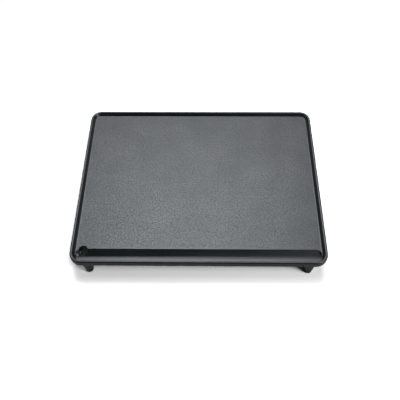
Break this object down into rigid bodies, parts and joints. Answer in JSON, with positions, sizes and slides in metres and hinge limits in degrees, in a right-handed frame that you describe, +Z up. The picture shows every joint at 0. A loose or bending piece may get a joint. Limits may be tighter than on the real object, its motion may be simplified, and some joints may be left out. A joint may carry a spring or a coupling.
{
  "type": "camp griddle plate",
  "caption": "Rectangular cast iron griddle plate with a rounded rim, a grease trough that falls to a drain hole along the front, and screwed conical feet.",
  "frame": {"origin": "on the table, under the middle of the plate", "axes": "+X to the right along the trough, +Y to the back, +Z up; the trough is at the front and the drain at its left end"},
  "size_m": [0.335, 0.266, 0.034],
  "materials": {
    "casting": "black satin, finely pebbled",
    "feet": "black satin"
  },
  "bodies": {
    "root": {"griddle_plate": "casting", "front_left_foot": "feet", "front_right_foot": "feet", "rear_left_foot": "feet", "rear_right_foot": "feet"}
  },
  "joints": []
}
